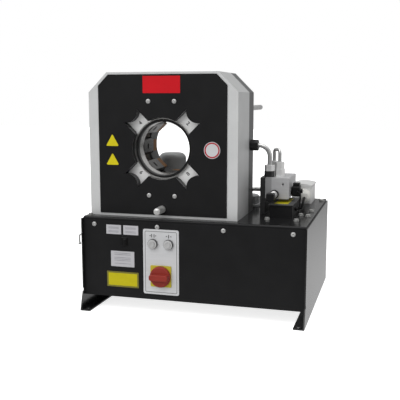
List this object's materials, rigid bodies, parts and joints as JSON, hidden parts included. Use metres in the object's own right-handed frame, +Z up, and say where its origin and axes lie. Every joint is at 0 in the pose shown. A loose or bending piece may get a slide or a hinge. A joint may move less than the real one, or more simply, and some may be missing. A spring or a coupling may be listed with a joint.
{
  "type": "hose crimping machine",
  "caption": "Bench hydraulic hose crimping machine: cabinet with oil tank, grey head with a round bore closed by sliding jaws, push buttons, main switch, motor and valve manifold.",
  "frame": {"origin": "on the floor, in the middle of the four foot bolt holes", "axes": "+X to the operator's right, +Y to the back, +Z up"},
  "size_m": [0.7225, 0.6113, 0.736],
  "materials": {
    "black_paint": "semi-gloss black powder coat",
    "cover_black": "satin black sheet",
    "grey_paint": "light grey enamel",
    "dark_grey_paint": "dark grey enamel",
    "satin_steel": "ground steel",
    "bright_steel": "polished steel",
    "tool_steel": "hardened dark tool steel",
    "bronze": "machined bronze",
    "zinc_steel": "zinc plated steel",
    "control_aluminium": "satin anodised",
    "cast_aluminium": "machined aluminium",
    "black_plastic": "black moulding",
    "button_grey": "grey moulding",
    "switch_yellow": "yellow moulding",
    "switch_red": "red moulding",
    "pale_plastic": "light grey moulding",
    "motor_grey": "machine grey enamel",
    "filter_grey": "light grey enamel",
    "seal_rubber": "black seal"
  },
  "bodies": {
    "machine": {"button_bezels": "black_plastic", "button_screws": "zinc_steel", "conduit_elbow": "pale_plastic", "contactor": "pale_plastic", "control_plate": "control_aluminium", "cylinder_block": "dark_grey_paint", "deck_plate": "black_paint", "depth_stop_rod": "satin_steel", "fan_cowl": "motor_grey", "filter_base": "cast_aluminium", "front_cover": "cover_black", "front_panel": "black_paint", "front_pin": "zinc_steel", "gear_pump": "cast_aluminium", "guide_cross": "satin_steel", "head_bolts": "zinc_steel", "head_frame": "grey_paint", "jumper_pipe": "zinc_steel", "junction_box": "black_plastic", "main_switch": "switch_yellow", "manifold_block": "cast_aluminium", "manifold_bracket": "black_paint", "motor_housing": "motor_grey", "oil_tank": "dark_grey_paint", "pipe_fittings": "zinc_steel", "pressure_pipe": "zinc_steel", "rear_box": "pale_plastic", "rear_panel": "black_paint", "rear_pipe": "zinc_steel", "relief_valve": "zinc_steel", "return_filter": "filter_grey", "side_hook": "zinc_steel", "side_panel_left": "black_paint", "side_panel_right": "black_paint", "sleeve_ring": "bright_steel", "solenoid_coil": "black_plastic"},
    "press_ring": {"press_ring": "tool_steel", "piston_seals": "seal_rubber"},
    "open_button": {"open_button": "button_grey"},
    "close_button": {"close_button": "button_grey"},
    "switch_handle": {"switch_handle": "switch_red"},
    "relief_knob": {"relief_knob": "black_plastic"},
    "motor_rotor": {"motor_rotor": "satin_steel"},
    "filler_cap": {"filler_cap": "pale_plastic"},
    "jaw_1": {"jaw_1": "tool_steel", "jaw_slide_1": "bronze"},
    "jaw_2": {"jaw_2": "tool_steel", "jaw_slide_2": "bronze"},
    "jaw_3": {"jaw_3": "tool_steel", "jaw_slide_3": "bronze"},
    "jaw_4": {"jaw_4": "tool_steel", "jaw_slide_4": "bronze"},
    "jaw_5": {"jaw_5": "tool_steel", "jaw_slide_5": "bronze"},
    "jaw_6": {"jaw_6": "tool_steel", "jaw_slide_6": "bronze"},
    "jaw_7": {"jaw_7": "tool_steel", "jaw_slide_7": "bronze"},
    "jaw_8": {"jaw_8": "tool_steel", "jaw_slide_8": "bronze"}
  },
  "joints": [
    {"name": "press_ring_slide", "type": "slide", "parent": "machine", "child": "press_ring", "axis": [0, -1, 0], "range_m": [0, 0.045]},
    {"name": "jaw_1_slide", "type": "slide", "parent": "machine", "child": "jaw_1", "axis": [0, 0, -1], "range_m": [0, 0.026]},
    {"name": "jaw_2_slide", "type": "slide", "parent": "machine", "child": "jaw_2", "axis": [-0.7071, 0, -0.7071], "range_m": [0, 0.026]},
    {"name": "jaw_3_slide", "type": "slide", "parent": "machine", "child": "jaw_3", "axis": [-1, 0, 0], "range_m": [0, 0.026]},
    {"name": "jaw_4_slide", "type": "slide", "parent": "machine", "child": "jaw_4", "axis": [-0.7071, 0, 0.7071], "range_m": [0, 0.026]},
    {"name": "jaw_5_slide", "type": "slide", "parent": "machine", "child": "jaw_5", "axis": [0, 0, 1], "range_m": [0, 0.026]},
    {"name": "jaw_6_slide", "type": "slide", "parent": "machine", "child": "jaw_6", "axis": [0.7071, 0, 0.7071], "range_m": [0, 0.026]},
    {"name": "jaw_7_slide", "type": "slide", "parent": "machine", "child": "jaw_7", "axis": [1, 0, 0], "range_m": [0, 0.026]},
    {"name": "jaw_8_slide", "type": "slide", "parent": "machine", "child": "jaw_8", "axis": [0.7071, 0, -0.7071], "range_m": [0, 0.026]},
    {"name": "open_button_push", "type": "slide", "parent": "machine", "child": "open_button", "axis": [0, 1, 0], "range_m": [0, 0.004], "stiffness_N_per_m": 600, "springref_m": -0.002},
    {"name": "close_button_push", "type": "slide", "parent": "machine", "child": "close_button", "axis": [0, 1, 0], "range_m": [0, 0.004], "stiffness_N_per_m": 600, "springref_m": -0.002},
    {"name": "main_switch_turn", "type": "hinge", "parent": "machine", "child": "switch_handle", "pos_m": [-0.091, -0.276, 0.1215], "axis": [0, 1, 0], "range_deg": [0, 90]},
    {"name": "pressure_knob_turn", "type": "hinge", "parent": "machine", "child": "relief_knob", "pos_m": [0.221, -0.151, 0.361], "axis": [0, 1, 0], "range_deg": [-180, 180]},
    {"name": "motor_spin", "type": "hinge", "parent": "machine", "child": "motor_rotor", "pos_m": [0.008, 0.164, 0.4], "axis": [0, 0, 1], "continuous": true},
    {"name": "filler_cap_turn", "type": "hinge", "parent": "machine", "child": "filler_cap", "pos_m": [0.105, 0.084, 0.31], "axis": [0, 0, 1], "range_deg": [0, 120]}
  ],
  "couplings": [
    {"joint": "jaw_1_slide", "follows": "press_ring_slide", "ratio": 0.57735},
    {"joint": "jaw_2_slide", "follows": "press_ring_slide", "ratio": 0.57735},
    {"joint": "jaw_3_slide", "follows": "press_ring_slide", "ratio": 0.57735},
    {"joint": "jaw_4_slide", "follows": "press_ring_slide", "ratio": 0.57735},
    {"joint": "jaw_5_slide", "follows": "press_ring_slide", "ratio": 0.57735},
    {"joint": "jaw_6_slide", "follows": "press_ring_slide", "ratio": 0.57735},
    {"joint": "jaw_7_slide", "follows": "press_ring_slide", "ratio": 0.57735},
    {"joint": "jaw_8_slide", "follows": "press_ring_slide", "ratio": 0.57735}
  ]
}
